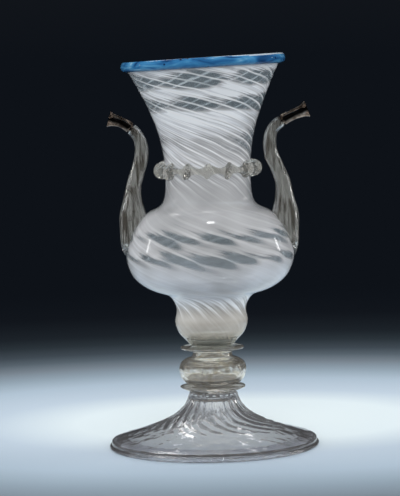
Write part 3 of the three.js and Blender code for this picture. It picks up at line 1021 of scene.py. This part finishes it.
# Spouts: a drawn tube of clear glass on each side, wide and thick where it was fused to the belly
# over its hole. Both were broken off at the top, and the ragged ends are hidden in the metal tips.
SPOUT_BASE_RADIUS = 0.0085
SPOUT_BASE_WALL = 0.0019
SPOUT_TUBE_RADIUS = 0.0045
SPOUT_END_RADIUS = 0.0038
SPOUT_WALL = 0.0012
# Places along a spout's centre line, as the number of its point, counted from 0
BORE_PLACE = 0.6
SEAM = 10
MOUTH = 12
RAGGED_FOR = 0.6
RAGGEDNESS = 0.16
# Each spout's centre line, out and up from the belly's widest circle
LEFT_ROUTE = [
    (-0.0062, 0.0014), (-0.0056, 0.0072), (-0.0052, 0.0162), (-0.0051, 0.0262), (-0.0052, 0.0352),
    (-0.0063, 0.0444), (-0.0091, 0.0538), (-0.0114, 0.0622), (-0.0116, 0.0694), (-0.0096, 0.0752),
    (-0.0052, 0.0806), (0.0011, 0.0846), (0.0083, 0.0868), (0.0135, 0.0882),
]
RIGHT_ROUTE = [
    (-0.0062, -0.0008), (-0.0056, 0.0058), (-0.0052, 0.0152), (-0.0051, 0.0252), (-0.0054, 0.0352),
    (-0.0065, 0.0454), (-0.0098, 0.0544), (-0.013, 0.0618), (-0.0141, 0.0692), (-0.0123, 0.0774),
    (-0.0058, 0.0833), (0.0012, 0.0868), (0.0098, 0.0902), (0.015, 0.092),
]
ROUTE_STEPS = 16
TUBE_STEPS = 8
TUBE_TURN = 24


def onto_route(piece, route, side):
    """Bends a piece that stands on the axis onto a spout's centre line. Its heights, in metres, are
    read as places along the route."""
    line = smooth_line(route, ROUTE_STEPS)
    for vertex in piece.data.vertices:
        step = min(max(vertex.co.z * ROUTE_STEPS, 0), len(line) - 1.001)
        index, share = int(step), step % 1
        point = line[index].lerp(line[index + 1], share)
        before = (line[index] - line[max(index - 1, 0)]).normalized()
        after = (line[min(index + 2, len(line) - 1)] - line[index + 1]).normalized()
        here = (line[index + 1] - line[index]).normalized()
        if share < 0.5:
            along = before.lerp(here, 0.5 + share).normalized()
        else:
            along = here.lerp(after, share - 0.5)
        point = point + vertex.co.x * Vector((along.y, -along.x)).normalized()
        vertex.co = (side * (BELLY_RADIUS + point.x), vertex.co.y, belly_height + point.y)
    if side < 0:
        piece.data.flip_normals()


def rod_outline(sections, steps):
    """A smooth line through pairs of place and radius, as pairs of radius and place."""
    return [(radius, place) for place, radius in smooth_line(sections, steps)]


def share_of(start, end, share):
    """The value that lies a share of the way from one value to another."""
    return start + (end - start) * share


def belly_cutter():
    """The body filled up to its axis and grown by a gap, to cut what sits on it."""
    skin = offset(body_outside, -JOIN_GAP)
    cutter = turn("cutter", [(0, skin[0].y), *skin, (0, skin[-1].y)], PLAIN_TURN)
    wobble(cutter, BODY_SAG_SIZE, BODY_SAG)
    return cutter


widths = [
    share_of(SPOUT_BASE_RADIUS, SPOUT_TUBE_RADIUS, share) for share in (0.4, 0.05, 0, 0, 0.6, 0.92)
] + [share_of(SPOUT_TUBE_RADIUS, SPOUT_END_RADIUS, share) for share in (0, 0, 0.4, 0.95, 1)]
walls = [SPOUT_BASE_WALL] * 4 + [SPOUT_WALL] * 7
spout_outer = rod_outline(list(enumerate(widths)), TUBE_STEPS)
bore_start = widths[0] - walls[0]
spout_inner = rod_outline(
    [(BORE_PLACE, bore_start * 0.6)] + [(p, widths[p] - walls[p]) for p in range(1, SEAM + 1)],
    TUBE_STEPS,
)
spout_glass = blown_glass("Drawn soda glass", "F1F1EF", 0.02, 0.01, 0.0005, (1, 1, 0.35))
stained_glass = blown_glass(
    "Drawn soda glass, stained bore",
    "EAEBE6",
    0.19,
    0.004,
    0.0008,
    (1.5, 1.5, 0.16),
    stain="6F675A",
)
for name, route, side, seed in (("left", LEFT_ROUTE, -1, 3), ("right", RIGHT_ROUTE, 1, 11)):
    spout = turn(
        f"spout_{name}_glass",
        [
            (0, 0),
            (widths[0] * 0.6, 0),
            (widths[0] * 0.95, 0.02),
            *spout_outer[1:],
            *reversed(spout_inner),
            (bore_start * 0.3, BORE_PLACE),
            (0, BORE_PLACE),
        ],
        TUBE_TURN,
    )
    spout.data.materials.append(spout_glass)
    spout.data.materials.append(stained_glass)
    for polygon in spout.data.polygons:
        outwards = polygon.normal.x * polygon.center.x + polygon.normal.y * polygon.center.y
        polygon.material_index = 1 if outwards < 0 else 0
    for vertex in spout.data.vertices:
        angle = polar(vertex.co)[1]
        ring = Vector((math.cos(angle), math.sin(angle), seed))
        short = max(vertex.co.z - SEAM + RAGGED_FOR, 0) / RAGGED_FOR
        vertex.co.z -= RAGGEDNESS * short * max(0, 0.6 + noise.noise(ring * 2.2))
    onto_route(spout, route, side)
    cut(spout, belly_cutter())
    bpy.ops.object.select_all(action="DESELECT")
    spout.select_set(True)
    bpy.ops.object.shade_smooth_by_angle(angle=math.radians(40))
    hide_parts(f"spout_{name}")
    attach(spout, "root")

# Tips: two horns of thin sheet metal, raised to a flared mouth and polished. A sleeve on each is
# cemented into the spout's bore. They mostly mirror the dark room, with warm light at their edges.
SLEEVE_LENGTH = 0.0055
SLEEVE_WALL = 0.0004
TIP_NECK_RADIUS = 0.00345
TIP_MOUTH_RADIUS = 0.0056
TIP_WALL = 0.0007
TIP_STEPS = 4
TIP_TURN = 32
DENT_SCALE = 220  # dents about 4 mm apart
DENT_DEPTH = 0.00006


def place_from(route, point, distance):
    """The place that lies some metres past a point of the route, or before it if negative."""
    step = 1 if distance > 0 else -1
    return point + distance / (Vector(route[point + step]) - Vector(route[point])).length


silver = new_material("Raised and polished silver")
place = add_node(silver, "TexCoord", {})
dents = add_node(
    silver, "TexNoise", {"Vector": place.outputs["Object"], "Scale": DENT_SCALE, "Detail": 2}
)
tarnish = add_node(
    silver,
    "ValToRGB",
    {"Fac": dents.outputs["Fac"]},
    stops=[(0.35, linear("4A3B32")), (0.5, linear("7A685A")), (0.7, linear("B09E90"))],
)
hammered = add_node(
    silver, "Bump", {"Height": dents.outputs["Fac"], "Distance": DENT_DEPTH, "Strength": 1}
)
metal = add_node(
    silver,
    "BsdfPrincipled",
    {
        "Base Color": tarnish.outputs[0],
        "Metallic": 1,
        "Roughness": 0.08,
        "Normal": hammered.outputs[0],
    },
)
add_node(silver, "OutputMaterial", {"Surface": metal.outputs[0]})
sleeve_radius = SPOUT_END_RADIUS - SPOUT_WALL - JOIN_GAP
for name, route, side in (("left", LEFT_ROUTE, -1), ("right", RIGHT_ROUTE, 1)):
    sleeve_end = place_from(route, SEAM, -SLEEVE_LENGTH)
    seam = place_from(route, SEAM, JOIN_GAP)
    horn = rod_outline(
        [(seam, SPOUT_END_RADIUS)] + [
            (share_of(seam, MOUTH, share), share_of(TIP_NECK_RADIUS, TIP_MOUTH_RADIUS, flared))
            for share, flared in (
                (0.25, 0.05), (0.5, 0), (0.7, 0.18), (0.85, 0.45), (0.96, 0.85), (1, 1),
            )
        ],
        TIP_STEPS,
    )
    inside = [(radius - TIP_WALL, place) for radius, place in reversed(horn) if place > seam + 0.2]
    tip = turn(
        f"spout_tip_{name}_metal",
        [
            (sleeve_radius, seam - 0.02),
            (sleeve_radius, seam),
            (share_of(sleeve_radius, SPOUT_END_RADIUS, 0.5), seam),
            *horn,
            (TIP_MOUTH_RADIUS - TIP_WALL * 0.5, MOUTH + 0.03),
            *inside,
            (sleeve_radius - SLEEVE_WALL, seam),
            (sleeve_radius - SLEEVE_WALL, share_of(seam, sleeve_end, 0.5)),
            (sleeve_radius - SLEEVE_WALL, sleeve_end + 0.02),
            (sleeve_radius - SLEEVE_WALL, sleeve_end),
            (sleeve_radius, sleeve_end),
            (sleeve_radius, sleeve_end + 0.02),
            (sleeve_radius, share_of(seam, sleeve_end, 0.5)),
        ],
        TIP_TURN,
    )
    onto_route(tip, route, side)
    tip.data.materials.append(silver)
    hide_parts(f"spout_tip_{name}")
    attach(tip, "root")

# Floor: a pale grey-blue sheet, with a painted pool of light: its colour darkens away from the
# vessel. Past about half a metre it glows in one even tone, that of the room, as a painted room.
ROOM_TONE = "0E1218"
FLOOR_RADIUS = 60
FADE_START = 0.45
FADE_END = 0.9

bpy.ops.object.select_all(action="DESELECT")
bpy.ops.mesh.primitive_circle_add(vertices=96, radius=FLOOR_RADIUS, fill_type="NGON")
floor = bpy.context.object
floor.name = "floor"
paper = new_material("Backdrop paper with a painted pool of light")
place = add_node(paper, "TexCoord", {})
centred = add_node(
    paper,
    "Mapping",
    {"Vector": place.outputs["Object"], "Location": (-0.016, -0.1, 0), "Scale": (0.8, 1, 1)},
)
away = add_node(paper, "VectorMath", {0: centred.outputs[0]}, operation="LENGTH")
# Painted pool of light: the paper's colour is pale round the vessel and darker further away.
shade = add_node(
    paper,
    "ValToRGB",
    {"Fac": away.outputs["Value"]},
    stops=[
        (0, linear("DFEAED")), (0.09, linear("DBE7EC")), (0.14, linear("BBCAD8")),
        (0.2, linear("AABBCA")), (0.25, linear("8D9DAA")), (0.3, linear("717C86")),
        (0.34, linear("545F68")), (0.38, linear("3D464E")), (0.44, linear("283036")),
        (0.5, linear("1D2329")), (0.65, linear("13171D")), (1, linear("0F141B")),
    ],
)
matt = add_node(paper, "BsdfDiffuse", {"Color": shade.outputs[0]})
# Painted room: further off, the floor glows in the room's dark tone instead of taking light.
far = add_node(
    paper,
    "MapRange",
    {"Value": away.outputs["Value"], "From Min": FADE_START, "From Max": FADE_END},
)
room = add_node(paper, "Emission", {"Color": linear(ROOM_TONE)})
sheet = add_node(
    paper, "MixShader", {0: far.outputs[0], 1: matt.outputs[0], 2: room.outputs[0]}
)
add_node(paper, "OutputMaterial", {"Surface": sheet.outputs[0]})
floor.data.materials.append(paper)

# World: dark where the camera sees it, straight or by way of glass and metal, and a little lighter
# above the floor's far edge. It is a plain even light on whatever scatters it.
DUSK_RISE = 0.05  # height of the lighter edge, as a share of the way to straight up
SOFT_LIGHT = 0.6

world = bpy.data.worlds.new("studio")
bpy.context.scene.world = world
world.use_nodes = True
world.node_tree.nodes.clear()
ahead = add_node(world, "TexCoord", {})
direction = add_node(world, "SeparateXYZ", {0: ahead.outputs["Generated"]})
climb = add_node(
    world, "MapRange", {"Value": direction.outputs["Z"], "From Min": 0, "From Max": DUSK_RISE}
)
dusk = add_node(
    world,
    "ValToRGB",
    {"Fac": climb.outputs[0]},
    stops=[(0, linear(ROOM_TONE)), (1, linear("14171C"))],
)
seen = add_node(world, "Background", {"Color": dusk.outputs[0], "Strength": 1})
soft = add_node(world, "Background", {"Color": (1, 1, 1, 1), "Strength": SOFT_LIGHT})
path = add_node(world, "LightPath", {})
straight = add_node(
    world,
    "Math",
    {0: path.outputs["Is Camera Ray"], 1: path.outputs["Is Glossy Ray"]},
    operation="MAXIMUM",
)
through = add_node(
    world,
    "Math",
    {0: straight.outputs[0], 1: path.outputs["Is Transmission Ray"]},
    operation="MAXIMUM",
)
unscattered = add_node(
    world, "Math", {0: path.outputs["Diffuse Depth"], 1: 0.5}, operation="LESS_THAN"
)
dark = add_node(
    world, "Math", {0: through.outputs[0], 1: unscattered.outputs[0]}, operation="MULTIPLY"
)
both = add_node(world, "MixShader", {0: dark.outputs[0], 1: soft.outputs[0], 2: seen.outputs[0]})
add_node(world, "OutputWorld", {"Surface": both.outputs[0]})

# Lamps: wide softboxes light the vessel, but aren't mirrored in its glass or seen through it.
# Strips beside and above it give the glass its highlights, with one high behind it for the foot's.
# Tall strips behind it, bent round by the glass, draw bright lines along the edges of the spouts.
LIT_POINT = Vector((0, 0, 0.12))

for name, place, width, height, power, mirrored, bent_round in (
    ("front_softbox", (0, -3, 1.1), 2.4, 1.6, 58, False, False),
    ("left_softbox", (-1.9, 0.3, 0.6), 1.2, 1.6, 15, False, False),
    ("right_softbox", (1.9, 0.4, 0.6), 1.2, 1.6, 15, False, False),
    ("left_strip", (-0.95, 0.15, 0.46), 0.05, 0.11, 0.12, True, True),
    ("right_strip", (0.9, 0.33, 0.4), 0.05, 0.11, 0.12, True, True),
    ("top_strip", (0.05, -0.3, 1.2), 0.16, 0.08, 0.7, True, True),
    ("high_back_strip", (-0.15, 0.95, 1.25), 0.9, 0.18, 3, True, True),
    ("left_back_strip", (-1.3, 0.8, 0.3), 0.16, 0.9, 1, False, True),
    ("right_back_strip", (1.3, 0.9, 0.3), 0.16, 0.9, 1, False, True),
):
    bpy.ops.object.light_add(type="AREA", location=place)
    lamp = bpy.context.object
    lamp.name = name
    lamp.visible_camera = False
    lamp.visible_glossy = mirrored
    lamp.visible_transmission = bent_round
    lamp.data.shape = "RECTANGLE"
    lamp.data.size, lamp.data.size_y = width, height
    lamp.data.energy = power
    lamp.rotation_euler = (LIT_POINT - Vector(place)).to_track_quat("-Z", "Y").to_euler()
